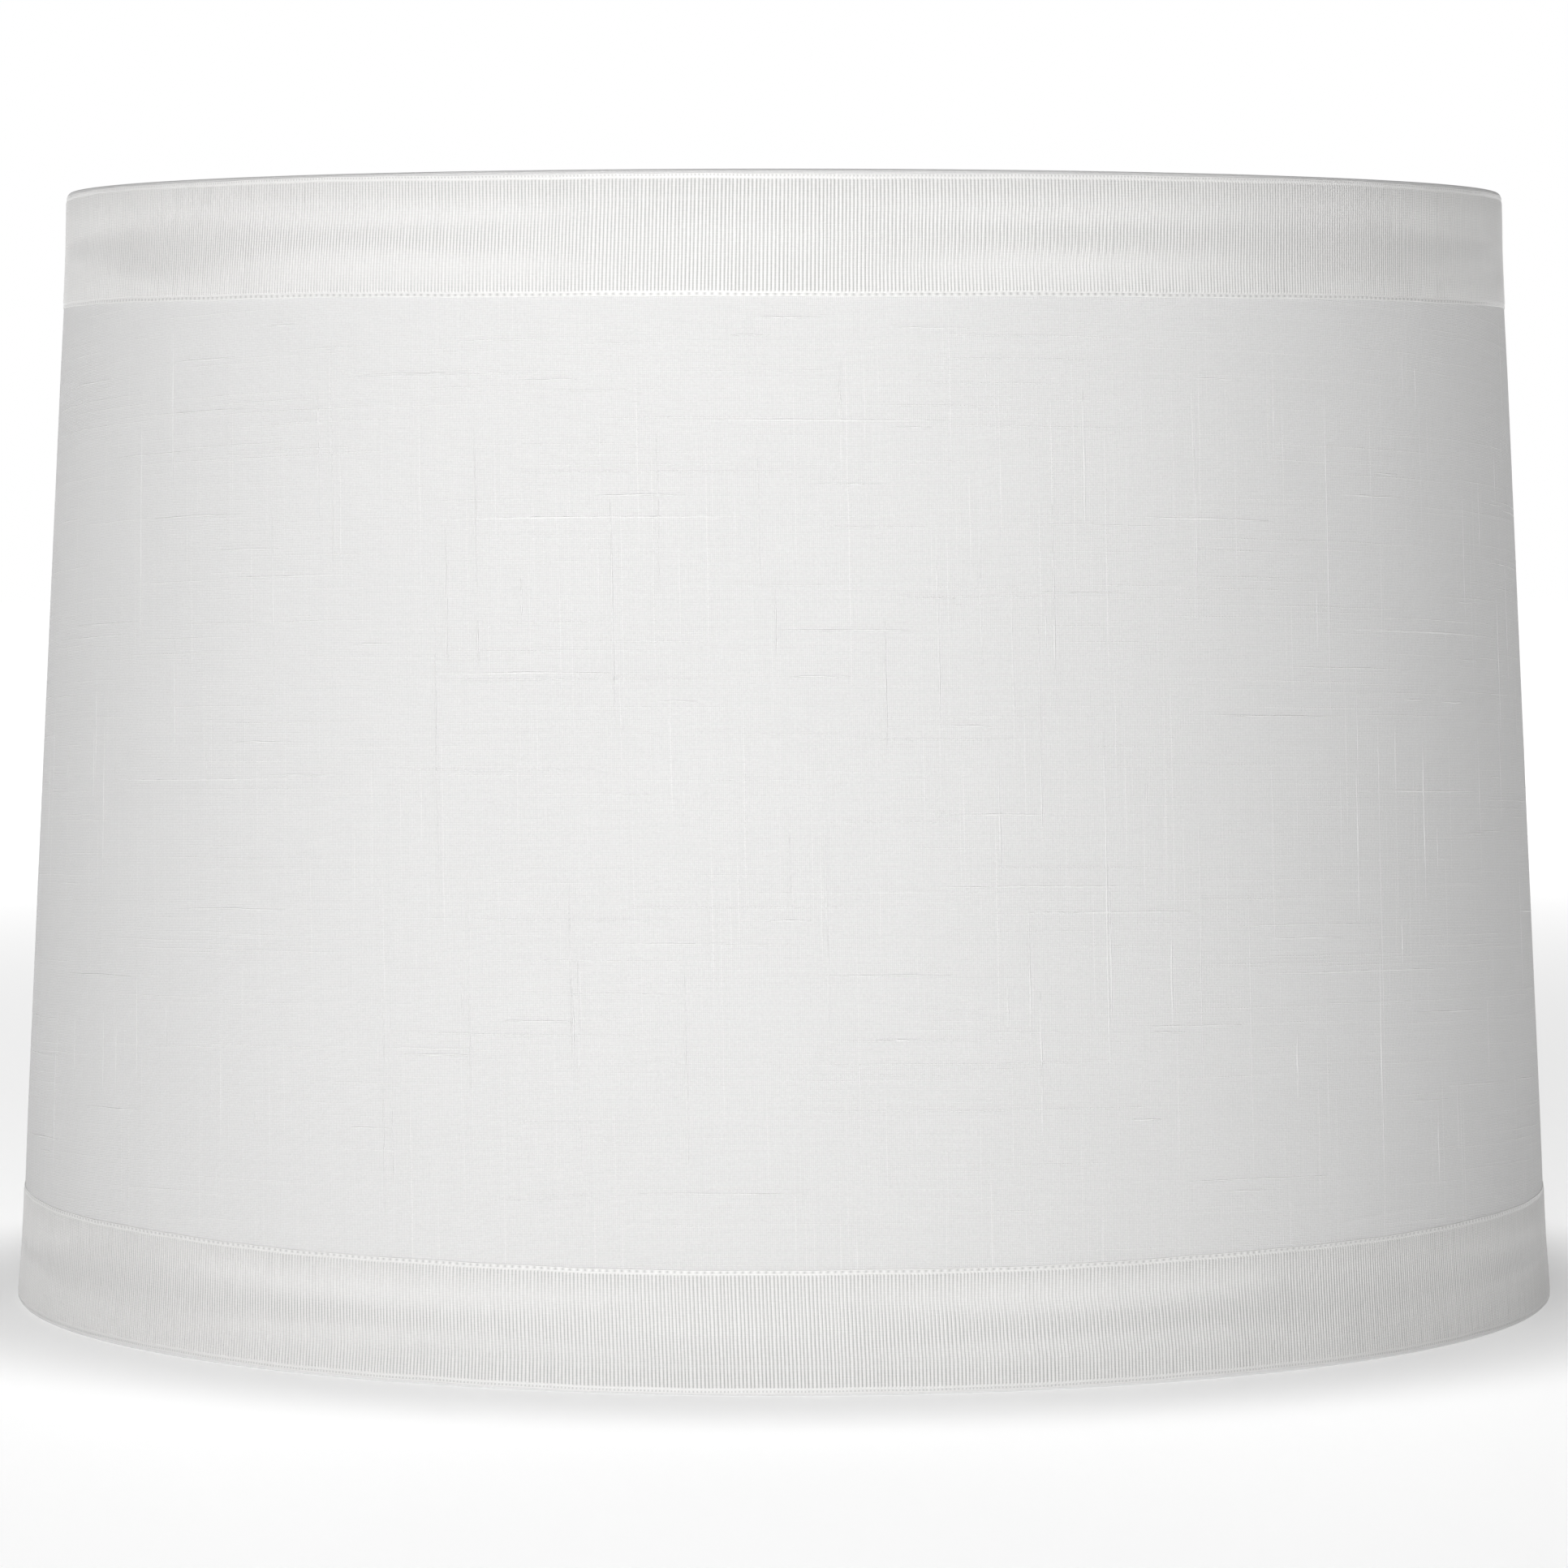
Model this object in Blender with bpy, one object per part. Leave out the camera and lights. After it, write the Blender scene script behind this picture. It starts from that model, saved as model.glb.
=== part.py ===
"""Tapered drum lamp shade with ribbon trim.

A stiff sheet with cloth on it is rolled into a cone's side and lapped at the back. A wire
ring stiffens each rim inside a turned-over binding, and a washer on three wire arms hangs
from the top ring. Metres, +Z up. The shade's axis is Z, its back seam faces +Y, and the
bottom rim stands on z = 0.
"""

import math

import bmesh
import bpy

# Driving dimensions of the finished shade, over its trim.
BOTTOM_DIAMETER = 0.3556
TOP_DIAMETER = 0.3302
SLANT_HEIGHT = 0.254

# Sheets and trim.
COVER_THICKNESS = 0.00035
LINER_THICKNESS = 0.00035
TAPE_THICKNESS = 0.00015
BINDING_THICKNESS = 0.0004
RIBBON_THICKNESS = 0.0004
RIBBON_WIDTH = 0.0254
BINDING_OUTER_LEG = 0.0065
BINDING_BEND = 0.0009
RIM_REVEAL = 0.0008

# Wire frame.
WIRE_DIAMETER = 0.003
ARM_DROP = 0.0127
ARM_BEND_RADIUS = 0.005
ARM_AZIMUTHS = (-90.0, 30.0, 150.0)
HUB_DIAMETER = 0.030
HUB_HOLE_DIAMETER = 0.0111
HUB_THICKNESS = 0.002

# Clearance between solids that touch on the real shade.
GAP = 0.0003

# The back seam, as angles past the inner sheet's cut edge.
SEAM_AZIMUTH = 90.0
LAP_ANGLE = 4.0
RIBBON_LAP_ANGLE = 3.0
RISE_ANGLE = 15.0
FALL_ANGLE = 3.0

# Facets of the round pieces.
COARSE_STEP = 5.0
FINE_STEP = 1.0
FINE_REACH = 8.0
WIRE_SIDES = 10
HUB_SIDES = 48
ARM_BEND_STEPS = 6

# Values that follow from them.
WIRE_RADIUS = WIRE_DIAMETER / 2
TAPER = (BOTTOM_DIAMETER - TOP_DIAMETER) / 2
HEIGHT = math.sqrt(SLANT_HEIGHT**2 - TAPER**2)
SLOPE = TAPER / HEIGHT
RIBBON_LIFT_AT_RIM = 2 * GAP + BINDING_THICKNESS
COVER_RADIUS = BOTTOM_DIAMETER / 2 - RIBBON_LIFT_AT_RIM - RIBBON_THICKNESS
LINER_OUTSIDE = -COVER_THICKNESS - GAP
LINER_INSIDE = LINER_OUTSIDE - LINER_THICKNESS
RING_MIDDLE = LINER_INSIDE - GAP - WIRE_RADIUS
SHEET_EDGE = BINDING_THICKNESS + GAP
RING_HEIGHT = SHEET_EDGE + WIRE_RADIUS
SEAM_STACK = COVER_THICKNESS + LINER_THICKNESS + TAPE_THICKNESS + 3 * GAP
RIBBON_STACK = RIBBON_THICKNESS + GAP


def clear_scene():
    """Removes whatever the open file holds."""
    for thing in list(bpy.data.objects):
        bpy.data.objects.remove(thing, do_unlink=True)


def material(name, colour, roughness, metallic=0.0):
    """A Principled material."""
    made = bpy.data.materials.new(name)
    made.use_nodes = True
    shader = made.node_tree.nodes["Principled BSDF"]
    shader.inputs["Base Color"].default_value = (*colour, 1.0)
    shader.inputs["Roughness"].default_value = roughness
    shader.inputs["Metallic"].default_value = metallic
    return made


def add_object(name, data, finish):
    """Puts mesh or curve data into the scene under a sub-part's name."""
    thing = bpy.data.objects.new(name, data)
    thing.data.materials.append(finish)
    bpy.context.scene.collection.objects.link(thing)
    return thing


def mesh_from(name, points, faces):
    """A closed mesh with its faces turned outward and its curved sides smooth."""
    mesh = bpy.data.meshes.new(name)
    mesh.from_pydata(points, [], faces)
    model = bmesh.new()
    model.from_mesh(mesh)
    bmesh.ops.recalc_face_normals(model, faces=model.faces)
    model.to_mesh(mesh)
    model.free()
    mesh.shade_smooth()
    mesh.set_sharp_from_angle(angle=math.radians(35))
    return mesh


def cone_radius(height):
    """Radius of the cloth's outer face at a height."""
    return COVER_RADIUS - SLOPE * height


def ease(share):
    """A smooth step from 0 to 1."""
    share = min(max(share, 0.0), 1.0)
    return share * share * (3 - 2 * share)


def turns_between(first, last):
    """Angles from first to last, in degrees past the seam: coarse round the shade and fine
    by the seam. Every band uses the same ones, so that their facets lie side by side."""
    stops = {first, last}
    steps = round(720 / FINE_STEP)
    for index in range(-steps, steps + 1):
        turn = index * FINE_STEP
        from_seam = abs((turn + 180) % 360 - 180)
        coarse = abs(turn / COARSE_STEP - round(turn / COARSE_STEP)) < 1e-6
        if first < turn < last and (coarse or from_seam <= FINE_REACH):
            stops.add(turn)
    return sorted(stops)


def sheet_lift(turn):
    """How far the lapped sheets stand out from the cone: they climb on to their own inner
    end during the last stretch of the turn, and stay on it over the lap."""
    return SEAM_STACK * ease((turn - 360 + RISE_ANGLE) / RISE_ANGLE)


def trim_lift(turn):
    """How far the trim bulges where it passes over the lapped sheets."""
    past = (turn + 180) % 360 - 180
    if past < 0:
        return SEAM_STACK * ease((past + RISE_ANGLE) / RISE_ANGLE)
    return SEAM_STACK * ease((LAP_ANGLE + 1 + FALL_ANGLE - past) / FALL_ANGLE)


def ribbon_lift(turn):
    """The trim's bulge, and the ribbon's own climb on to its inner end."""
    climb = RIBBON_STACK * ease((turn - 360 + RISE_ANGLE) / RISE_ANGLE)
    return trim_lift(turn) + climb


def band(name, section, turns, lift, finish, closed=False):
    """Sweeps a section round the Z axis. The section lists (offset from the cone, height,
    share of the lift) and lift(turn) is how far the band stands out at each angle."""
    points = []
    for turn in turns:
        azimuth = math.radians(SEAM_AZIMUTH + turn)
        for offset, height, share in section:
            radius = cone_radius(height) + offset + share * lift(turn)
            points.append((radius * math.cos(azimuth), radius * math.sin(azimuth), height))
    count = len(section)
    rounds = len(turns)
    faces = []
    for step in range(rounds if closed else rounds - 1):
        here = step * count
        there = ((step + 1) % rounds) * count
        for side in range(count):
            after = (side + 1) % count
            faces.append((here + side, here + after, there + after, there + side))
    if not closed:
        faces.append(tuple(range(count)))
        faces.append(tuple(range((rounds - 1) * count, rounds * count)))
    return add_object(name, mesh_from(name, points, faces), finish)


def flat_section(outside, thickness, low, high):
    """A thin sheet's section between two heights, with its outer face at an offset."""
    inside = outside - thickness
    return [(outside, low, 1), (outside, high, 1), (inside, high, 1), (inside, low, 1)]


def make_cover(finish):
    """Cloth on the outside, lapped over its own inner end."""
    section = flat_section(0.0, COVER_THICKNESS, SHEET_EDGE, HEIGHT - SHEET_EDGE)
    band("fabric_cover", section, turns_between(0, 360 + LAP_ANGLE), sheet_lift, finish)


def make_liner(finish):
    """Stiff backing sheet behind the cloth, lapped with it."""
    section = flat_section(LINER_OUTSIDE, LINER_THICKNESS, SHEET_EDGE, HEIGHT - SHEET_EDGE)
    band("liner", section, turns_between(0, 360 + LAP_ANGLE), sheet_lift, finish)


def make_seam_tape(finish):
    """Strip of tape between the inner end's cloth and the outer end's backing."""
    section = flat_section(GAP + TAPE_THICKNESS, TAPE_THICKNESS, SHEET_EDGE, HEIGHT - SHEET_EDGE)
    margin = FINE_STEP / 2
    turns = turns_between(margin, LAP_ANGLE - margin)
    band("seam_tape", section, turns, lambda turn: 0.0, finish)


def make_ring(name, height, finish):
    """Wire ring just inside the backing sheet."""
    bpy.ops.mesh.primitive_torus_add(
        location=(0, 0, height),
        major_radius=cone_radius(height) + RING_MIDDLE,
        minor_radius=WIRE_RADIUS,
        major_segments=round(360 / COARSE_STEP),
        minor_segments=WIRE_SIDES,
    )
    ring = bpy.context.object
    ring.name = name
    ring.data.shade_smooth()
    ring.data.materials.append(finish)


def bend_points(middle, radius, first, last, steps):
    """Points on an arc in the section plane, angles in degrees from the outward side."""
    found = []
    for step in range(steps + 1):
        angle = math.radians(first + (last - first) * step / steps)
        found.append((middle[0] + radius * math.cos(angle), middle[1] + radius * math.sin(angle)))
    return found


def binding_outline(inner_leg):
    """Section of the binding at the bottom rim as (offset, height, share of the lift): up
    the outside of the cloth, flat under the rim and up the inside of the ring."""
    outside = GAP + BINDING_THICKNESS
    inside = RING_MIDDLE - WIRE_RADIUS - GAP - BINDING_THICKNESS
    outer_bend = (outside - BINDING_BEND, BINDING_BEND)
    inner_bend = (inside + BINDING_BEND, BINDING_BEND)
    inner_radius = BINDING_BEND - BINDING_THICKNESS
    path = [(outside, BINDING_OUTER_LEG, 1)]
    path += [(x, z, 1) for x, z in bend_points(outer_bend, BINDING_BEND, 0, -90, 2)]
    path += [(x, z, 0) for x, z in bend_points(inner_bend, BINDING_BEND, -90, -180, 2)]
    path += [(inside, inner_leg, 0), (inside + BINDING_THICKNESS, inner_leg, 0)]
    path += [(x, z, 0) for x, z in bend_points(inner_bend, inner_radius, -180, -90, 2)]
    path += [(x, z, 1) for x, z in bend_points(outer_bend, inner_radius, -90, 0, 2)]
    path += [(outside - BINDING_THICKNESS, BINDING_OUTER_LEG, 1)]
    return path


def make_binding(name, inner_leg, at_top, finish):
    """Cloth edge turned over the ring and the sheets, its ends butted at the seam."""
    section = binding_outline(inner_leg)
    if at_top:
        section = [(offset, HEIGHT - height, share) for offset, height, share in section]
    butt = math.degrees(GAP / BOTTOM_DIAMETER)
    band(name, section, turns_between(butt, 360 - butt), trim_lift, finish)


def make_ribbon(name, rim_height, inward, finish):
    """Ribbon glued over the binding's outer leg and the cloth, ends lapped at the seam.
    inward is +1 where it runs up from its rim edge and -1 where it runs down."""
    far = rim_height + inward * RIBBON_WIDTH
    section = [
        (RIBBON_LIFT_AT_RIM + RIBBON_THICKNESS, rim_height, 1),
        (GAP + RIBBON_THICKNESS, far, 1),
        (GAP, far, 1),
        (RIBBON_LIFT_AT_RIM, rim_height, 1),
    ]
    turns = turns_between(0, 360 + RIBBON_LAP_ANGLE)
    band(name, section, turns, ribbon_lift, finish)


def arm_points():
    """Centre line of an arm along +X: down from the top ring, round a bend and in to the
    hub."""
    reach = cone_radius(HEIGHT - RING_HEIGHT) + RING_MIDDLE
    level = HEIGHT - ARM_DROP
    points = [(reach, HEIGHT - RING_HEIGHT - WIRE_RADIUS - GAP)]
    for step in range(ARM_BEND_STEPS + 1):
        angle = math.radians(90 * step / ARM_BEND_STEPS)
        out = reach - ARM_BEND_RADIUS * (1 - math.cos(angle))
        up = level + ARM_BEND_RADIUS * (1 - math.sin(angle))
        points.append((out, up))
    points.append((HUB_DIAMETER / 2 + GAP, level))
    return points


def make_arm(name, azimuth, finish):
    """Spider arm of round wire, turned to its place round the hub."""
    curve = bpy.data.curves.new(name, "CURVE")
    curve.dimensions = "3D"
    curve.bevel_depth = WIRE_RADIUS
    curve.bevel_resolution = 3
    curve.use_fill_caps = True
    points = arm_points()
    line = curve.splines.new("POLY")
    line.points.add(len(points) - 1)
    for point, (out, up) in zip(line.points, points):
        point.co = (out, 0, up, 1)
    arm = add_object(name, curve, finish)
    arm.rotation_euler = (0, 0, math.radians(azimuth))


def make_hub(finish):
    """Flat pierced washer, level with the arms."""
    low = HEIGHT - ARM_DROP - HUB_THICKNESS / 2
    rims = [
        (HUB_DIAMETER / 2, low),
        (HUB_DIAMETER / 2, low + HUB_THICKNESS),
        (HUB_HOLE_DIAMETER / 2, low + HUB_THICKNESS),
        (HUB_HOLE_DIAMETER / 2, low),
    ]
    points = []
    for step in range(HUB_SIDES):
        azimuth = 2 * math.pi * step / HUB_SIDES
        points += [(r * math.cos(azimuth), r * math.sin(azimuth), z) for r, z in rims]
    count = len(rims)
    faces = []
    for step in range(HUB_SIDES):
        here = step * count
        there = ((step + 1) % HUB_SIDES) * count
        for side in range(count):
            after = (side + 1) % count
            faces.append((here + side, here + after, there + after, there + side))
    add_object("hub_washer", mesh_from("hub_washer", points, faces), finish)


def main():
    clear_scene()
    cloth = material("cloth", (0.86, 0.85, 0.83), 0.85)
    ribbon = material("grosgrain", (0.82, 0.81, 0.79), 0.6)
    backing = material("styrene", (0.90, 0.89, 0.87), 0.35)
    tape = material("tape", (0.88, 0.88, 0.84), 0.3)
    wire = material("plated_wire", (0.72, 0.72, 0.70), 0.3, 1.0)

    make_cover(cloth)
    make_liner(backing)
    make_seam_tape(tape)
    make_ring("bottom_ring", RING_HEIGHT, wire)
    make_ring("top_ring", HEIGHT - RING_HEIGHT, wire)
    beside_ring = RING_HEIGHT + WIRE_RADIUS
    make_binding("bottom_binding", beside_ring + WIRE_RADIUS, False, cloth)
    make_binding("top_binding", beside_ring, True, cloth)
    make_ribbon("bottom_ribbon", RIM_REVEAL, 1, ribbon)
    make_ribbon("top_ribbon", HEIGHT - RIM_REVEAL, -1, ribbon)
    make_hub(wire)
    for number, azimuth in enumerate(ARM_AZIMUTHS, start=1):
        make_arm(f"spider_arm_{number}", azimuth, wire)


if __name__ == "__main__":
    main()
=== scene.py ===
"""Finished look of the tapered drum lamp shade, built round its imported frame.

Every piece is a numpy surface in the frame's own metres. Places on the shade's wall are
given as a turn past the back seam, a height, and a distance out from the cloth's cone.
"""

import math

import bpy
import numpy as np
from bpy.props import FloatProperty, FloatVectorProperty, IntProperty, PointerProperty
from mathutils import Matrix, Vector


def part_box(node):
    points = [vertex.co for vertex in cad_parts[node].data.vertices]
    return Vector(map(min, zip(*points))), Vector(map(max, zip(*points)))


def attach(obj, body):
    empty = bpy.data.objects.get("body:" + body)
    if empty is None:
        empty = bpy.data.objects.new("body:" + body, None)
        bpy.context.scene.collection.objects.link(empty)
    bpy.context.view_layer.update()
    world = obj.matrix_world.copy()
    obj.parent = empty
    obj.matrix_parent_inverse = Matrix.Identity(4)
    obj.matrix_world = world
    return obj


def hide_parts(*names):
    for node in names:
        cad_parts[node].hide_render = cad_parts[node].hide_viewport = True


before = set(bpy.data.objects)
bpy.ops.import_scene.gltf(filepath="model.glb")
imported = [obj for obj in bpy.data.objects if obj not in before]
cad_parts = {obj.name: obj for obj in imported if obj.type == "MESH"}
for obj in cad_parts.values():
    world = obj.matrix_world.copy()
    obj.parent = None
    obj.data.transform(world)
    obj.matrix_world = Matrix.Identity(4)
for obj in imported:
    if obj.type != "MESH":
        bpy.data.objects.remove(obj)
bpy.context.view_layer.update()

bl_info = {
    "name": "Tapered drum lamp shade",
    "version": (1, 0, 0),
    "blender": (4, 5, 0),
    "location": "View3D > Sidebar > Shade",
    "description": "Cloth, ribbons, bindings, liner and wire frame of a drum lamp shade",
    "category": "Object",
}

MM = 0.001
TAU = 2 * math.pi

# The frame's own measures.
LOW_RING, TOP_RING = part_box("bottom_ring"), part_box("top_ring")
WIRE = 3.0 * MM
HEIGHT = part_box("top_binding")[1].z
RING_Z = (LOW_RING[0].z + LOW_RING[1].z) / 2
RING_DROP = HEIGHT - (TOP_RING[0].z + TOP_RING[1].z) / 2
LOW_RING_OUT, TOP_RING_OUT = LOW_RING[1].x, TOP_RING[1].x
SLOPE = (LOW_RING_OUT - TOP_RING_OUT) / (HEIGHT - RING_DROP - RING_Z)
HUB_LOW, HUB_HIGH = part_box("hub_washer")
ARM_LEVEL = (HUB_LOW.z + HUB_HIGH.z) / 2
ARM_AZIMUTHS = {"spider_arm_1": -90.0, "spider_arm_2": 30.0, "spider_arm_3": 150.0}

# The wall, as distances out from the cloth's outer face.
CLOTH_OUT = 2.4 * MM
COVER_THICK = 0.33 * MM
LINER_THICK = 0.35 * MM
TAPE_THICK = 0.14 * MM
FILM = 0.02 * MM
RING_MIDDLE = -CLOTH_OUT - WIRE / 2
SHEET_EDGE = 0.7 * MM
LAP = math.radians(4)
RISE = math.radians(15)
FALL = math.radians(3)
SEAM_STACK = COVER_THICK + LINER_THICK + TAPE_THICK + 3 * FILM
RIBBON_WIDTH = 25.4 * MM
RIM_REVEAL = 0.8 * MM
BINDING_THICK = 0.3 * MM
BINDING_LEG = 6.5 * MM
BINDING_OUT = 0.26 * MM
BINDING_BEND = 0.95 * MM

# The cloth is cut flat as a sector, so its threads are straight there and not on the cone.
CONE_SINE = math.sin(math.atan(SLOPE))
BASE_RADIUS = LOW_RING_OUT + SLOPE * RING_Z + CLOTH_OUT
BASE_SLANT = BASE_RADIUS / CONE_SINE

# Past the ring's underside a binding turns over the ring and then runs straight inward.
TUCK_TURN = math.radians(120)
TUCK_SLANT = math.radians(60)
TUCK_STRAIGHT = 2.6 * MM
TURNED_SHARE = 0.66
TUCK_STEPS = np.linspace(0, 1, 13)[1:]
PUCKER = 0.05 * MM

# The thick threads.
SLUB_LENGTHS = 9 * MM, 75 * MM
SLUB_WIDTH, SLUB_RISE, SLUB_SUNK = 0.2 * MM, 0.06 * MM, 0.02 * MM
SLUB_SWAY = 0.06 * MM

# The ribbon: its ground weave, its lap, and a rib's places and heights as shares of it.
RIBBON_GROUND = 0.04 * MM
LAP_RIBS = 12
RIB_PHASES = np.array([0.0, 0.2, 0.5, 0.8])
RIB_SHAPE = np.array([0.0, 0.8, 1.0, 0.8])
# Across the ribbon: distance from its rim edge in millimetres, thickness as a share, and
# how much of it is rib and bead.
RIBBON_ROWS = np.array([
    (0.00, 0.10, 0.0, 0.0),
    (0.05, 0.55, 0.0, 0.3),
    (0.35, 0.75, 0.0, 1.0),
    (0.70, 0.60, 0.0, 0.7),
    (0.95, 0.35, 0.1, 0.0),
    (1.25, 1.00, 1.0, 0.0),
    (6.50, 1.00, 1.0, 0.0),
    (12.7, 1.00, 1.0, 0.0),
    (18.9, 1.00, 1.0, 0.0),
    (24.15, 1.00, 1.0, 0.0),
    (24.45, 0.35, 0.1, 0.0),
    (24.70, 0.60, 0.0, 0.7),
    (25.05, 0.75, 0.0, 1.0),
    (25.35, 0.55, 0.0, 0.3),
    (25.40, 0.10, 0.0, 0.0),
])

# The wire frame.
HUB_HOLE = 5.55 * MM
HUB_SOFT_EDGE = 0.35 * MM
ARM_BEND = 5 * MM

# The stage.
SOFT_BOXES = (
    # name, azimuth, elevation, distance, width, height, watts
    ("key", -28, 14, 2.2, 0.5, 1.4, 6.0),
    ("front", -8, 7, 2.2, 0.9, 1.6, 23.0),
    ("right", 38, 12, 2.2, 0.9, 1.6, 1.0),
    ("back_left", -150, 12, 2.2, 0.9, 1.6, 7.0),
    ("back_right", 150, 12, 2.2, 0.9, 1.6, 6.0),
    ("top", 0, 80, 2.0, 1.6, 1.6, 5.0),
)
ROOM_LIGHT = 0.04
FLOOR_REACH = 6.0
FLOOR_GLOW = 0.57
CONTACT_SHADE = 0.5

# A short soft fold of the cloth above the bottom ribbon, in the flat cut.
FOLD_START, FOLD_END = (0.125, 0.0322), 0.157
FOLD_RISE, FOLD_WIDTH, FOLD_FADE = 0.09, 1.0 * MM, 8 * MM


class ShadeSizes(bpy.types.PropertyGroup):
    """Sizes of the trim and the threads."""

    rib_pitch: FloatProperty(
        name="Rib pitch", description="From one rib of the ribbon to the next",
        default=0.8 * MM, min=0.3 * MM, precision=5, unit="LENGTH",
    )
    rib_depth: FloatProperty(
        name="Rib depth", description="Depth of the groove between two ribs",
        default=0.18 * MM, precision=5, unit="LENGTH",
    )
    warp_pitch: FloatProperty(
        name="Warp pitch", description="From one upright thread of the cloth to the next",
        default=0.42 * MM, precision=5, unit="LENGTH",
    )
    weft_pitch: FloatProperty(
        name="Weft pitch", description="From one cross thread of the cloth to the next",
        default=0.37 * MM, precision=5, unit="LENGTH",
    )
    slub_count: IntProperty(
        name="Slubs", description="Thick stretches of thread that stand out of the cloth",
        default=420, min=0,
    )


class ShadeColours(bpy.types.PropertyGroup):
    """Colours of the finishes."""

    cloth: FloatVectorProperty(
        name="Cloth", description="Colour of the cover and the bindings",
        default=(0.87, 0.866, 0.863), subtype="COLOR", size=3,
    )
    ribbon: FloatVectorProperty(
        name="Ribbon", description="Colour of the ribbed ribbon",
        default=(0.80, 0.794, 0.785), subtype="COLOR", size=3,
    )
    liner: FloatVectorProperty(
        name="Liner", description="Colour of the stiff sheet inside",
        default=(0.88, 0.875, 0.86), subtype="COLOR", size=3,
    )
    wire: FloatVectorProperty(
        name="Wire", description="Colour of the plated steel",
        default=(0.82, 0.82, 0.81), subtype="COLOR", size=3,
    )


class StageSettings(bpy.types.PropertyGroup):
    """The camera and the lights."""

    distance: FloatProperty(
        name="Camera distance", description="From the shade's axis to the camera",
        default=1.532, unit="LENGTH",
    )
    eye_height: FloatProperty(
        name="Camera height", description="Above the bottom rim",
        default=0.2003, unit="LENGTH",
    )
    tilt: FloatProperty(
        name="Camera tilt", description="How far the camera looks down",
        default=math.radians(3.10), subtype="ANGLE",
    )
    lens: FloatProperty(
        name="Lens", description="Focal length in millimetres on a 36 mm sensor",
        default=151.3,
    )


# Shader sums


class Wire:
    """A socket of a node tree that takes part in Python sums."""

    def __init__(self, finish, socket):
        self.finish = finish
        self.socket = socket

    def sum(self, operation, *others):
        return self.finish.node("ShaderNodeMath", {"operation": operation}, (self, *others))

    def back(self, operation, other):
        return self.finish.node("ShaderNodeMath", {"operation": operation}, (other, self))

    def __add__(self, other):
        return self.sum("ADD", other)

    def __radd__(self, other):
        return self.sum("ADD", other)

    def __sub__(self, other):
        return self.sum("SUBTRACT", other)

    def __rsub__(self, other):
        return self.back("SUBTRACT", other)

    def __mul__(self, other):
        return self.sum("MULTIPLY", other)

    def __rmul__(self, other):
        return self.sum("MULTIPLY", other)

    def __truediv__(self, other):
        return self.sum("DIVIDE", other)

    def __pow__(self, other):
        return self.sum("POWER", other)

    def sine(self):
        return self.sum("SINE")

    def size(self):
        return self.sum("ABSOLUTE")

    def floor(self):
        return self.sum("FLOOR")

    def over(self, other):
        return self.sum("MAXIMUM", other)

    def between(self, low, high):
        """0 up to low, 1 from high, and a smooth step between."""
        settings = {"interpolation_type": "SMOOTHSTEP"}
        return self.finish.node("ShaderNodeMapRange", settings, (self, low, high))


class Finish:
    """A Principled material made of nodes."""

    def __init__(self, name, colour, roughness, **constants):
        self.material = bpy.data.materials.new(name)
        self.material.use_nodes = True
        self.tree = self.material.node_tree
        self.shader = self.tree.nodes["Principled BSDF"]
        self.colour = (*colour, 1.0)
        self.feed("Base Color", self.colour)
        self.feed("Roughness", roughness)
        for socket, value in constants.items():
            self.feed(socket.replace("_", " "), value)

    def node(self, kind, settings, inputs, output=0):
        """A node of a type, with its settings, then the values or links of its sockets."""
        made = self.tree.nodes.new(kind)
        for name, value in settings.items():
            setattr(made, name, value)
        pairs = inputs.items() if isinstance(inputs, dict) else enumerate(inputs)
        for key, value in pairs:
            self.put(made.inputs[key], value)
        return Wire(self, made.outputs[output])

    def put(self, socket, value):
        if isinstance(value, Wire):
            self.tree.links.new(value.socket, socket)
        else:
            socket.default_value = value

    def feed(self, name, value):
        """Sets or links a socket of the shader."""
        self.put(self.shader.inputs[name], value)

    def split(self, vector):
        """The three parts of a vector."""
        made = self.node("ShaderNodeSeparateXYZ", {}, (vector,)).socket.node
        return [Wire(self, output) for output in made.outputs]

    def join(self, x, y, z=0.0):
        return self.node("ShaderNodeCombineXYZ", {}, (x, y, z))

    def uv(self, name):
        """The two coordinates of one of the piece's UV maps, in metres."""
        return self.split(self.node("ShaderNodeUVMap", {"uv_map": name}, ()))[:2]

    def place(self):
        """The piece's own coordinates, in metres."""
        return self.node("ShaderNodeTexCoord", {}, (), "Object")

    def attribute(self, name):
        return self.node("ShaderNodeAttribute", {"attribute_name": name}, (), "Fac")

    def noise(self, vector, scale=1.0, detail=2.0, rough=0.5):
        inputs = {"Vector": vector, "Scale": scale, "Detail": detail, "Roughness": rough}
        return self.node("ShaderNodeTexNoise", {}, inputs)

    def shade(self, gain):
        """The finish's colour, brighter or darker by a number."""
        grey = self.join(gain, gain, gain)
        settings = {"data_type": "RGBA", "blend_type": "MULTIPLY"}
        inputs = {0: 1.0, 6: self.colour, 7: grey}
        return self.node("ShaderNodeMix", settings, inputs, 2)

    def relief(self, height, depth, strength=1.0):
        """Bumps the surface by a height from 0 to 1 that is depth metres tall."""
        inputs = {"Strength": strength, "Distance": depth, "Height": height}
        self.feed("Normal", self.node("ShaderNodeBump", {}, inputs))


def thread_noise(finish, across, along, length, seed):
    """How thick each thread is along its own length: noise that runs on along one thread
    and starts afresh on the next."""
    spot = finish.join(along / length, across.floor() * 7.31 + seed, seed)
    return finish.noise(spot, detail=2.0, rough=0.45)


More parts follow.
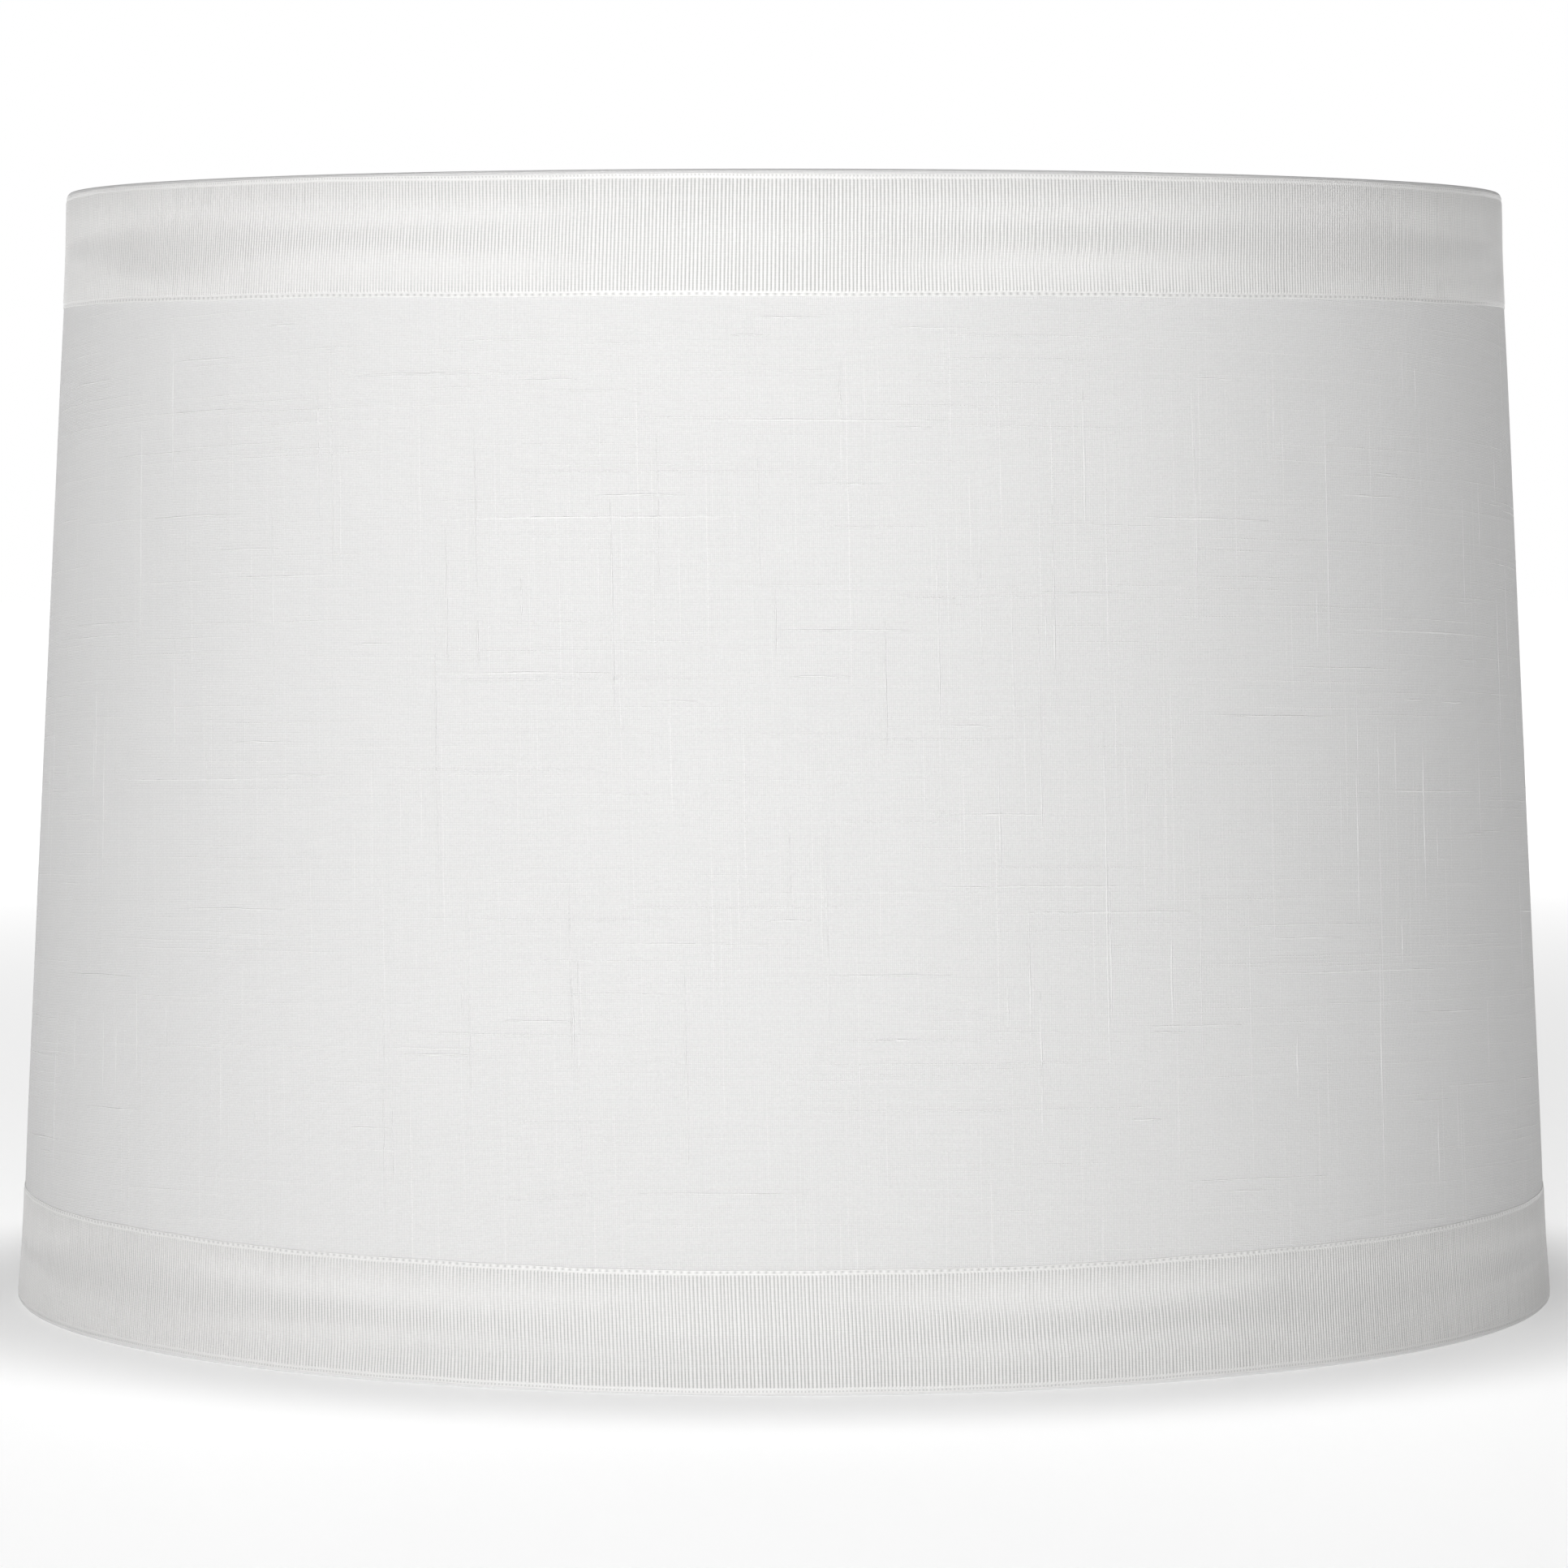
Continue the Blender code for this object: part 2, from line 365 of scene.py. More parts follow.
def fold_ridge(x, y):
    """The fold in the flat cut: 1 along its crest and 0 a little way off it, fading out
    towards its two ends."""
    off_crest = (y - (x - FOLD_START[0]) * FOLD_RISE - FOLD_START[1]).size()
    ridge = 1.0 - off_crest.between(0.0, FOLD_WIDTH)
    return ridge * (x - FOLD_START[0]).between(0.0, FOLD_FADE) * (FOLD_END - x).between(0.0, FOLD_FADE)


def dark_flecks(finish, x, y):
    """A dark fibre in the yarn here and there: the middles of a few cells of a pattern, as
    1 on a fleck and 0 off it."""
    inputs = {"Vector": finish.join(x, y), "Scale": 45.0}
    off_middle = finish.node("ShaderNodeTexVoronoi", {}, inputs)
    lot = finish.node("ShaderNodeTexVoronoi", {}, inputs, "Color")
    chosen = finish.split(lot)[0].between(0.84, 0.85)
    return chosen * (1.0 - off_middle.between(0.008, 0.016))


def cloth_finish(name, colours, sizes):
    """Off-white plain weave with slubs. Warp and weft are sines whose product changes sign
    from one crossing to the next; a slub brightens and lifts the crossings where its own
    thread lies on top. The gaps between the threads are painted darker than their tops,
    as painted shade."""
    finish = Finish(name, colours.cloth, 0.88, Sheen_Weight=0.12, Sheen_Roughness=0.45)
    finish.feed("Specular IOR Level", 0.25)
    x, y = finish.uv("cloth")
    drift = finish.noise(finish.join(x, y), 60.0, 2.0) - 0.5
    weave_x = (x + y * 0.02) / sizes.warp_pitch + drift * 1.2
    weave_y = y / sizes.weft_pitch + drift * -1.5
    crossing = (weave_x * math.pi).sine() * (weave_y * math.pi).sine()
    warp = thread_noise(finish, weave_x, y, 0.075, 3.0)
    weft = thread_noise(finish, weave_y, x, 0.085, 11.0)
    warp_slub, weft_slub = warp.between(0.63, 0.74), weft.between(0.61, 0.72)
    crown = crossing.size() ** 0.5
    on_warp, on_weft = crossing.over(0.0), (crossing * -1.0).over(0.0)
    proud = warp_slub * (0.6 + on_warp * 0.4) + weft_slub * (0.35 + on_weft * 0.65)
    slub = proud + finish.attribute("thick_thread") * 1.3
    tone = (warp - 0.5) * (0.4 + on_warp) + (weft - 0.5) * (0.4 + on_weft)
    fold = fold_ridge(x, y)
    cloud = finish.noise(finish.join(x, y, 5.0), 30.0, 3.0) - 0.5
    grain = finish.noise(finish.join(x, y, 9.0), 1900.0, 2.0) - 0.5
    # crown also sets the colour: thread tops brighter and the gaps between threads darker, as painted
    # shade.
    gain = 0.91 + crown * 0.13 + slub * 0.09 + tone * 0.075 + cloud * 0.03 + grain * 0.15
    finish.feed("Base Color", finish.shade(gain * (1.0 - dark_flecks(finish, x, y) * 0.55)))
    height = crown * 0.6 + fold * 0.8 + slub * 0.9 + tone * 0.5 + grain * 0.5 + cloud
    finish.relief(height, 0.08 * MM)
    return finish.material


def stripe(across, rise, full, fall, end):
    """A stripe along the ribbon, in millimetres from its rim edge: 0 up to rise, 1 from full
    to fall, and 0 from end."""
    return across.between(rise * MM, full * MM) * (1.0 - across.between(fall * MM, end * MM))


def ribbon_finish(colours, sizes):
    """Ribbed ribbon of smooth yarn: fine yarns run along it over every rib, each with its own weight,
    and the colour shifts a little from rib to rib. The grooves between the ribs and the gaps beside
    the edge beads are painted darker, as painted shade."""
    finish = Finish("ribbed_ribbon", colours.ribbon, 0.45, Sheen_Weight=0.1, Sheen_Roughness=0.4)
    finish.feed("Specular IOR Level", 0.65)
    finish.feed("IOR", 1.6)
    along, across = finish.uv("ribbon")
    step = along / sizes.rib_pitch
    rib = step.floor()
    crest = (step * math.pi).sine().size() ** 0.5
    # Where the grooves between the ribs lie; in the colour this carries painted shade.
    groove = (1.0 - crest) * stripe(across, 0.9, 1.3, 24.1, 24.5)
    outer_bead, inner_bead = (step * math.pi).sine().size(), (step * (math.pi / 2)).sine().size()
    # Painted shadow: a dark line between each edge's beads and the ribs.
    painted_gap_shadow = stripe(across, 0.1, 0.3, 0.5, 0.7) * (1.0 - outer_bead)
    painted_gap_shadow = painted_gap_shadow + stripe(across, 24.6, 24.8, 25.1, 25.3) * (1.0 - inner_bead)
    by_rib = finish.noise(finish.join(rib * 5.17, across * 60.0), detail=2.0) - 0.5
    yarn = (across * (TAU / (0.36 * MM))).sine()
    twist = finish.noise(finish.join(along * 900.0, across * 2600.0), detail=2.0) - 0.5
    cloud = finish.noise(finish.join(along, across, 2.0), 45.0, 3.0) - 0.5
    gain = 1.16 + by_rib * 0.07 + yarn * 0.05 + twist * 0.16 + cloud * 0.06
    # Painted shade: the grooves between the ribs, and the gaps between the edge beads and the ribs,
    # are painted darker.
    gain = gain - groove * 0.68 - painted_gap_shadow * 0.36
    finish.feed("Base Color", finish.shade(gain))
    finish.feed("Roughness", 0.44 + twist * 0.12 + cloud * 0.08 + groove * 0.3)
    finish.relief(yarn * 0.3 + twist * 0.7 + by_rib * 0.5, 0.03 * MM)
    return finish.material


def liner_finish(colours):
    """Satin white styrene: faint roll marks, a little haze and a few scuffs."""
    finish = Finish("satin_liner", colours.liner, 0.35)
    place = finish.place()
    x, y, z = finish.split(place)
    rolled = finish.noise(finish.join(x * 30.0, y * 30.0, z * 900.0), detail=2.0) - 0.5
    haze = finish.noise(place, 25.0, 3.0) - 0.5
    scuff = finish.noise(finish.join(x * 120.0, y * 120.0, z * 20.0), detail=4.0).between(0.66, 0.74)
    finish.feed("Base Color", finish.shade(1.0 + haze * 0.03 - scuff * 0.03))
    finish.feed("Roughness", 0.36 + haze * 0.12 + scuff * 0.2)
    finish.relief(rolled * 0.3 + haze * 1.0, 0.06 * MM)
    return finish.material


def tape_finish():
    """Clear-set adhesive strip with small bubbles."""
    finish = Finish("clear_tape", (0.86, 0.85, 0.78), 0.3)
    bubble = finish.node("ShaderNodeTexVoronoi", {}, {"Vector": finish.place(), "Scale": 700.0})
    ring = bubble.between(0.15, 0.3)
    finish.feed("Roughness", 0.25 + ring * 0.2)
    finish.relief(ring, 0.03 * MM)
    return finish.material


def wire_finish(name, colours, grain):
    """Zinc-plated steel: drawing lines, a cloudy plate and duller worn spots."""
    finish = Finish(name, colours.wire, 0.3, Metallic=1.0)
    place = finish.place()
    lines = finish.noise(finish.node("ShaderNodeMapping", {}, {0: place, 3: grain}), 1.0, 2.0) - 0.5
    cloud = finish.noise(place, 260.0, 3.0) - 0.5
    worn = finish.noise(place, 70.0, 4.0).between(0.55, 0.7)
    gain = 0.98 + cloud * 0.08 + lines * 0.04 - worn * 0.06
    finish.feed("Base Color", finish.shade(gain))
    finish.feed("Roughness", 0.34 + cloud * 0.12 + worn * 0.14 + lines * 0.06)
    finish.relief(lines * 0.6 + cloud * 0.6, 0.006 * MM)
    return finish.material


# Surfaces


def ease(share):
    """A smooth step from 0 to 1, for arrays."""
    share = np.clip(share, 0.0, 1.0)
    return share * share * (3 - 2 * share)


def hump(distance, width):
    """A bell that is 1 at no distance."""
    return np.exp(-((distance / width) ** 2))


def smooth_piece(mesh, corners, maps, values, material):
    """A mesh as a smooth piece that rides with the shade, with its UV maps by name, spread
    over the mesh's corners, and its point attributes by name."""
    for key, pair in maps.items():
        layer = mesh.uv_layers.new(name=key)
        layer.data.foreach_set("uv", pair.reshape(-1, 2)[corners].astype(np.float32).ravel())
    for key, value in values.items():
        layer = mesh.attributes.new(key, "FLOAT", "POINT")
        layer.data.foreach_set("value", value.astype(np.float32).ravel())
    mesh.shade_smooth()
    mesh.materials.append(material)
    piece = bpy.data.objects.new(mesh.name, mesh)
    bpy.context.scene.collection.objects.link(piece)
    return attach(piece, "root")


def surface(name, points, maps, material, wrap_u=False, wrap_v=False, values=None):
    """A mesh of quads over a grid of points. maps holds UV maps by name and values point
    attributes by name, each over the same grid. wrap_u and wrap_v close the grid on itself;
    where only wrap_v does, the two open ends are capped."""
    rows, columns = points.shape[:2]
    index = np.arange(rows * columns).reshape(rows, columns)
    if wrap_u:
        index = np.vstack((index, index[:1]))
    if wrap_v:
        index = np.hstack((index, index[:, :1]))
    quads = np.stack((index[:-1, :-1], index[1:, :-1], index[1:, 1:], index[:-1, 1:]), -1)
    quads = quads.reshape(-1, 4)
    caps = []
    if wrap_v and not wrap_u:
        caps = [index[0, :columns], index[-1, :columns][::-1]]
    corners = np.concatenate([quads.ravel(), *caps])
    totals = np.concatenate([np.full(len(quads), 4), [columns] * len(caps)]).astype(np.int32)
    starts = np.concatenate([[0], np.cumsum(totals)[:-1]]).astype(np.int32)
    mesh = bpy.data.meshes.new(name)
    mesh.vertices.add(rows * columns)
    mesh.vertices.foreach_set("co", points.astype(np.float32).ravel())
    mesh.loops.add(len(corners))
    mesh.loops.foreach_set("vertex_index", corners.astype(np.int32))
    mesh.polygons.add(len(totals))
    mesh.polygons.foreach_set("loop_start", starts)
    mesh.update(calc_edges=True)
    piece = smooth_piece(mesh, corners, maps, values or {}, material)
    mesh.set_sharp_from_angle(angle=math.radians(50))
    return piece


def joined(name, pieces):
    """Several surfaces as one piece."""
    with bpy.context.temp_override(active_object=pieces[0], selected_editable_objects=pieces):
        bpy.ops.object.join()
    pieces[0].name = name
    return pieces[0]


def on_wall(turn, height, out):
    """Points at a turn past the back seam, a height, and a distance out from the cloth's
    cone, whose radius shrinks evenly with height."""
    radius = BASE_RADIUS - SLOPE * height + out
    azimuth = math.pi / 2 + turn
    return np.stack((radius * np.cos(azimuth), radius * np.sin(azimuth), height + 0 * turn), -1)


def flat_place(turn, height):
    """Where a place on the cone lies in the flat cut: polar coordinates about the cone's
    tip, with the grain upright at the front."""
    slant = (BASE_RADIUS - SLOPE * height) / CONE_SINE
    angle = (turn - math.pi) * CONE_SINE
    return np.stack((slant * np.sin(angle), BASE_SLANT - slant * np.cos(angle)), -1)


def cone_place(x, y):
    """The turn and the height of a place in the flat cut, which is flat_place undone."""
    slant = np.hypot(x, BASE_SLANT - y)
    turn = np.arctan2(x, BASE_SLANT - y) / CONE_SINE + math.pi
    return turn, (BASE_RADIUS - slant * CONE_SINE) / SLOPE


def cloth_relief(turn, height):
    """How far the cloth really stands from its cone: drawn in beside each ring, and slow
    waves round the wall, as sums of sines."""
    from_rim = np.minimum(height, HEIGHT - height)
    drawn = -0.15 * MM * hump(from_rim - 19 * MM, 15 * MM)
    waves = 0.05 * np.sin(5 * turn + 0.7) + 0.035 * np.sin(9 * turn + 2.1 + 9 * height)
    waves = waves + 0.03 * np.sin(14 * turn - 30 * height)
    return drawn + waves * MM * ease(from_rim / (20 * MM))


def sheet_lift(turn):
    """The climb of the lapped sheets on to their own inner end over the last stretch."""
    return SEAM_STACK * ease((turn - TAU + RISE) / RISE)


def trim_lift(turn):
    """The bulge of the trim over the lap: a ramp up, level, and a steeper ramp down."""
    past = (turn + math.pi) % TAU - math.pi
    up = ease((past + RISE) / RISE)
    down = ease((LAP + math.radians(1) + FALL - past) / FALL)
    return SEAM_STACK * np.where(past < 0, up, down)


def turns(step, first=0.0, last=TAU):
    """Evenly spaced turns, with more of them next to the seam."""
    even = np.linspace(first, last, round((last - first) / step) + 1)
    near = np.radians(np.arange(0.25, 8, 0.25))
    extra = np.concatenate((near, TAU - near))
    extra = extra[(extra > first) & (extra < last)]
    return np.unique(np.round(np.concatenate((even, extra)), 6))


def sheet_piece(name, outside, thick, finish):
    """A rolled sheet: up its outer face and down its inner face at each turn, with its two
    ends lapped at the seam."""
    turn = turns(math.radians(1), 0.0, TAU + LAP)[:, None]
    rise = np.linspace(SHEET_EDGE, HEIGHT - SHEET_EDGE, 46)
    height = np.concatenate((rise, rise[::-1]))[None, :]
    side = np.repeat((0.0, 1.0), len(rise))[None, :]
    out = outside - side * thick + cloth_relief(turn, height) + sheet_lift(turn)
    points = on_wall(turn, height, out)
    maps = {"cloth": flat_place(turn, height)}
    values = {"thick_thread": np.zeros(points.shape[:2])}
    return surface(name, points, maps, finish, wrap_v=True, values=values)


def spindle_faces(shape, turned):
    """Faces of closed spindles whose points are numbered spindle by station by place round:
    a band of quads from each station to the next and a cap at both ends. The turned ones go
    the other way round."""
    order = np.arange(math.prod(shape)).reshape(shape)
    beside = np.roll(order, -1, axis=2)
    quads = np.stack((order[:, :-1], order[:, 1:], beside[:, 1:], beside[:, :-1]), -1)
    quads = np.where(turned[..., None], quads[..., ::-1], quads).reshape(-1, 4)
    ends = np.stack((order[:, 0], order[:, -1, ::-1]), 1)
    ends = np.where(turned, ends[..., ::-1], ends).reshape(-1, shape[2])
    return quads, ends


def slub_threads(sizes, finish):
    """Thick stretches of single threads, standing on the cloth. Each is a spindle: straight
    in the flat cut, widest in the middle, with a half-round section. All of them are worked
    out together as one array, thread by station by place round."""
    draw = np.random.default_rng(41)
    count = sizes.slub_count
    upright = draw.random(count) < 0.55
    length = draw.gamma(2.4, 12.0 * MM, count).clip(*SLUB_LENGTHS)
    turn = draw.random(count) * TAU
    margin = RIBBON_WIDTH + 3 * MM + length / 2 * np.where(upright, 1.0, 0.17)
    height = margin + draw.random(count) * (HEIGHT - 2 * margin)
    middle = flat_place(turn, height)[:, None, None]
    weight, sway, phase = draw.random((3, count))[:, :, None, None]
    up = upright[:, None, None]
    station = np.linspace(-1, 1, 13)[None, :, None]
    across = np.array([-1.0, -0.5, 0.0, 0.5, 1.0, 0.0])[None, None, :]
    under = np.array([0.0, 0.0, 0.0, 0.0, 0.0, 1.0])[None, None, :]
    swell = (1 - 0.98 * station**2) ** 0.6 * (0.5 + weight / 2)
    ripple = 1 + 0.2 * np.sin(station * 9 + phase * TAU)
    run = station * (length / 2)[:, None, None] + 0 * across
    aside = across * SLUB_WIDTH * swell * ripple + SLUB_SWAY * np.sin(station * 5 + sway * TAU)
    x = middle[..., 0] + np.where(up, aside - 0.02 * run, run)
    y = middle[..., 1] + np.where(up, run, aside)
    turn, height = cone_place(x, y)
    out = SLUB_RISE * swell * ripple * np.sqrt(1 - across**2) * (1 - under) - SLUB_SUNK * under
    out = out + cloth_relief(turn, height) + sheet_lift(turn)
    points = on_wall(turn, height, out)
    quads, ends = spindle_faces(x.shape, up)
    mesh = bpy.data.meshes.new("slub_threads")
    mesh.from_pydata(points.reshape(-1, 3).tolist(), [], quads.tolist() + ends.tolist())
    corners = np.concatenate((quads.ravel(), ends.ravel()))
    maps = {"cloth": np.stack((x, y), -1)}
    return smooth_piece(mesh, corners, maps, {"thick_thread": swell + 0 * across}, finish)


def rib_columns(ribs, seed):
    """The columns along a ribbon, four to a rib and one at its cut end: how many ribs lie
    before each, its share of a full round, in which the ribs are unevenly wide, and its
    height as a share of a full rib."""
    draw = np.random.default_rng(seed)
    count = ribs + LAP_RIBS
    wide = draw.uniform(0.9, 1.1, count)
    edge = np.concatenate(([0.0], np.cumsum(wide))) * count / wide.sum()
    share = (edge[:-1, None] + RIB_PHASES * np.diff(edge)[:, None]).ravel() / ribs
    tall = (1 + 0.07 * (-1) ** np.arange(count)) * draw.uniform(0.93, 1.05, count)
    before = (np.arange(count)[:, None] + RIB_PHASES).ravel()
    columns = ((before, count), (share, count / ribs), ((tall[:, None] * RIB_SHAPE).ravel(), 0.0))
    return [np.append(values, last)[:, None] for values, last in columns]


def ribbon_piece(name, rim_height, inward, seed, sizes, finish):
    """Ribbon round a rim, column by column along it and row by row across it. A rib is four
    columns, raised to a half-round between two grooves. The columns lean and bend a little
    as they cross the ribbon, both edges wander, and beads of yarn run along both. The
    ribbon climbs over the seam and on to its own inner end, where its cut end is hemmed."""
    radius = BASE_RADIUS - SLOPE * (rim_height + inward * RIBBON_WIDTH / 2)
    ribs = round(TAU * radius / sizes.rib_pitch)
    before, share, rib = rib_columns(ribs, seed)
    turn = share * TAU
    from_edge, plain, ribbed, beaded = RIBBON_ROWS.T[:, None]
    across = from_edge * MM
    part = across / RIBBON_WIDTH
    lean = -0.6 - 0.35 * np.sin(3 * turn + seed) - 0.15 * np.sin(11 * turn)
    bend = 0.16 * np.sin(7 * turn + 2) + 0.12
    shift = (lean * (ease(part) - 0.5) + bend * np.sin(TAU * part)) * MM
    inner = part > 0.5
    bead_turn = share * ribs * math.pi
    beads = np.where(inner, np.abs(np.sin(bead_turn / 2)), np.abs(np.sin(bead_turn)))
    thick = sizes.rib_depth + RIBBON_GROUND
    edging = plain * thick * (1 - 0.55 * beaded * (1 - beads))
    out = ribbed * (RIBBON_GROUND + sizes.rib_depth * rib) + (1 - ribbed) * edging
    over_binding = 0.24 * MM * (1 - ease((across - 2 * MM) / (12 * MM)))
    wander = 0.16 * np.sin(4 * turn + seed) + 0.08 * np.sin(13 * turn + 2 * seed)
    wander = wander + 0.04 * np.sin(47 * turn)
    loops = 0.05 * (beads - 0.5) * beaded * np.where(inner, 1.0, -1.0)
    height = rim_height + inward * (across + (wander + loops) * MM)
    climb = (thick + FILM) * ease((turn - TAU + math.radians(5)) / math.radians(5))
    hem = thick * 0.8 * ease((turn - turn[-1] + 8 * MM / radius) / (0.6 * MM / radius))
    out = FILM + over_binding + out + trim_lift(turn) + climb + hem
    points = on_wall(turn + shift / radius, height, out + cloth_relief(turn, height))
    along = before * sizes.rib_pitch + 0 * across
    ribbon_map = np.stack((along, across + 0 * turn), -1)
    if inward < 0:
        points, ribbon_map = points[:, ::-1], ribbon_map[:, ::-1]
    return surface(name, points, {"ribbon": ribbon_map}, finish, wrap_v=True)


def binding_path(thin):
    """Section of a binding at the bottom rim, as out and up distances, on its outer side or
    on its inner side when thin is its thickness: down beside the cloth, round the sheets'
    edge, flat under the rim, and round the ring to its inner side."""
    beside = [(BINDING_OUT - thin, z) for z in np.linspace(BINDING_LEG, BINDING_BEND, 5)]
    r = BINDING_BEND - thin
    middle = BINDING_OUT - BINDING_BEND
    corner = [
        (middle + r * math.cos(a), BINDING_BEND + r * math.sin(a))
        for a in np.radians(np.linspace(0, -90, 9)[1:])
    ]
    r = RING_Z - thin
    under = [
        (RING_MIDDLE + r * math.cos(a), RING_Z + r * math.sin(a))
        for a in np.radians(np.linspace(-90, -180, 9))
    ]
    return np.array(beside + corner + under).T


def tuck(share, thin):
    """The rest of the section: over the ring by a share of the way, and then straight
    towards the liner. share may be an array."""
    r = RING_Z - thin
    angle = math.pi - TUCK_TURN * np.clip(share / TURNED_SHARE, 0, 1)
    straight = np.clip((share - TURNED_SHARE) / (1 - TURNED_SHARE), 0, 1) * TUCK_STRAIGHT
    out = RING_MIDDLE + r * np.cos(angle) + straight * math.sin(TUCK_SLANT)
    up = RING_Z + r * np.sin(angle) - straight * math.cos(TUCK_SLANT)
    return out, up


def along_path(out, up):
    """How far along a path each of its points lies."""
    return np.cumsum(np.hypot(np.diff(out, prepend=out[0]), np.diff(up, prepend=up[0])))


def binding_side(thin, share):
    """One side of a binding's section at every turn, from its outer leg to its tucked edge,
    as out and up distances."""
    start = np.repeat(binding_path(thin)[:, None], len(share), 1)
    return np.concatenate((start, np.stack(tuck(share, thin))), 2)


def binding_piece(name, at_top, finish):
    """Cloth edge turned over a rim. The section is carried round the rim, with small puckers
    where it turns in, and snipped short where an arm comes out from under the top ring."""
    turn = turns(math.radians(0.75), 0.001, TAU - 0.001)[:, None]
    tucked = np.ones_like(turn)
    if at_top:
        for azimuth in ARM_AZIMUTHS.values():
            away = (turn - math.radians(azimuth - 90) + math.pi) % TAU - math.pi
            tucked = tucked * (1 - hump(away * TOP_RING_OUT, 3.2 * MM))
    frayed = 1 - 0.03 * (1 + np.sin(61 * turn) * np.sin(23 * turn + 1))
    share = TUCK_STEPS[None, :] * tucked * frayed
    front, back = binding_side(0.0, share), binding_side(BINDING_THICK, share)
    out, up = np.concatenate((front, back[:, :, ::-1]), 2)
    inner = ease((-1.2 * MM - out) / (2.5 * MM))
    pucker = np.sin(118 * turn + 1.3 * np.sin(7 * turn)) * (0.6 + 0.4 * np.sin(17 * turn))
    out = out + PUCKER * pucker * inner
    up = up + PUCKER * pucker * inner * (up > 1 * MM)
    height = HEIGHT - up if at_top else up
    swell = (trim_lift(turn) + cloth_relief(turn, height)) * (1 - inner)
    points = on_wall(turn, height, out + swell)
    width = along_path(out[0], up[0]) * 0.7
    bias = np.stack((turn * BASE_RADIUS + width, width - turn * BASE_RADIUS * 0.02), -1)
    if not at_top:
        points, bias = points[:, ::-1], bias[:, ::-1]
    values = {"thick_thread": np.zeros(points.shape[:2])}
    return surface(name, points, {"cloth": bias}, finish, wrap_v=True, values=values)


def tape_piece(name, finish):
    """Strip of tape in the lap: a thin sheet up its outer face and down its inner face."""
    turn = np.radians(np.linspace(0.5, 3.5, 7))[:, None]
    rise = np.linspace(SHEET_EDGE, HEIGHT - SHEET_EDGE, 30)
    height = np.concatenate((rise, rise[::-1]))[None, :]
    side = np.repeat((1.0, 0.0), len(rise))[None, :]
    out = FILM + TAPE_THICK * side + cloth_relief(turn, height)
    return surface(name, on_wall(turn, height, out), {}, finish, wrap_v=True)


def ring_piece(name, box, weld_azimuth, finish):
    """Wire ring: a circle carried round a circle, thicker by a bead where its ends are
    welded together."""
    height = (box[0].z + box[1].z) / 2
    middle = box[1].x - WIRE / 2
    turn = np.linspace(0, TAU, 361)[:-1][:, None]
    side = np.linspace(0, TAU, 25)[:-1][None, :]
    away = (turn - math.radians(weld_azimuth) + math.pi) % TAU - math.pi
    bead = 1 + 0.12 * hump(away * middle, 1.3 * MM) * (1 + 0.3 * np.sin(3 * side))
    radius = middle + WIRE / 2 * bead * np.cos(side)
    up = height + WIRE / 2 * bead * np.sin(side)
    points = np.stack((radius * np.cos(turn), radius * np.sin(turn), up), -1)
    return surface(name, points, {}, finish, wrap_u=True, wrap_v=True)


def tube(name, line, across, tall, wide, finish):
    """An oval section carried along a line in one plane. line holds the places, across the
    unit vector out of the plane, and tall and wide the section's half sizes."""
    ahead = np.gradient(line, axis=0)
    ahead /= np.linalg.norm(ahead, axis=1, keepdims=True)
    upward = np.cross(ahead, across)
    side = np.linspace(0, TAU, 21)[:-1][None, :, None]
    ring = -upward[:, None] * np.sin(side) * tall[:, None, None]
    ring = ring + across[None, None] * np.cos(side) * wide[:, None, None]
    return surface(name, line[:, None] + ring, {}, finish, wrap_v=True)


def arm_piece(name, azimuth, finish):
    """Spider arm: straight down from the top ring, a quarter circle and straight in to the
    hub, round in section and flattened where it is welded on."""
    reach = TOP_RING_OUT - WIRE / 2
    start = HEIGHT - RING_DROP - WIRE / 2 + 0.1 * MM
    inner = HUB_HIGH.x - 0.1 * MM
    drop = np.linspace(start, ARM_LEVEL + ARM_BEND, 9)[:-1]
    angle = np.linspace(0, math.pi / 2, 15)
    round_part = np.linspace(reach - ARM_BEND, inner + 9 * MM, 14)[1:]
    inward = np.concatenate((round_part, np.linspace(inner + 8 * MM, inner, 12)))
    corner_out = reach - ARM_BEND * (1 - np.cos(angle))
    corner_up = ARM_LEVEL + ARM_BEND * (1 - np.sin(angle))
    out = np.concatenate((np.full(len(drop), reach), corner_out, inward))
    up = np.concatenate((drop, corner_up, np.full(len(inward), ARM_LEVEL)))
    around = math.radians(azimuth)
    ray = np.array((math.cos(around), math.sin(around), 0.0))
    across = np.array((-math.sin(around), math.cos(around), 0.0))
    line = out[:, None] * ray + up[:, None] * np.array((0.0, 0.0, 1.0))
    pressed = 1 - ease((out - inner - 2 * MM) / (5 * MM))
    tall = WIRE / 2 * (1 - 0.34 * pressed)
    wide = WIRE / 2 * (1 + 0.3 * pressed)
    return tube(name, line, across, tall, wide, finish)


def weld_bead(number, place, sizes, finish):
    """A lump of weld: an ellipsoid with ripples, closed at both poles."""
    lat = np.radians(np.linspace(-89, 89, 11))[:, None]
    lon = np.linspace(0, TAU, 17)[:-1][::-1][None, :]
    ripple = 1 + 0.07 * np.sin(3 * lon + number) * np.cos(lat * 2) + 0.04 * np.sin(7 * lat)
    x, y = np.cos(lon) * np.cos(lat), np.sin(lon) * np.cos(lat)
    unit = np.stack((x, y, np.sin(lat) + 0 * lon), -1)
    points = np.array(place) + unit * ripple[..., None] * np.array(sizes)
    return surface(f"bead_{number}", points, {}, finish, wrap_v=True)


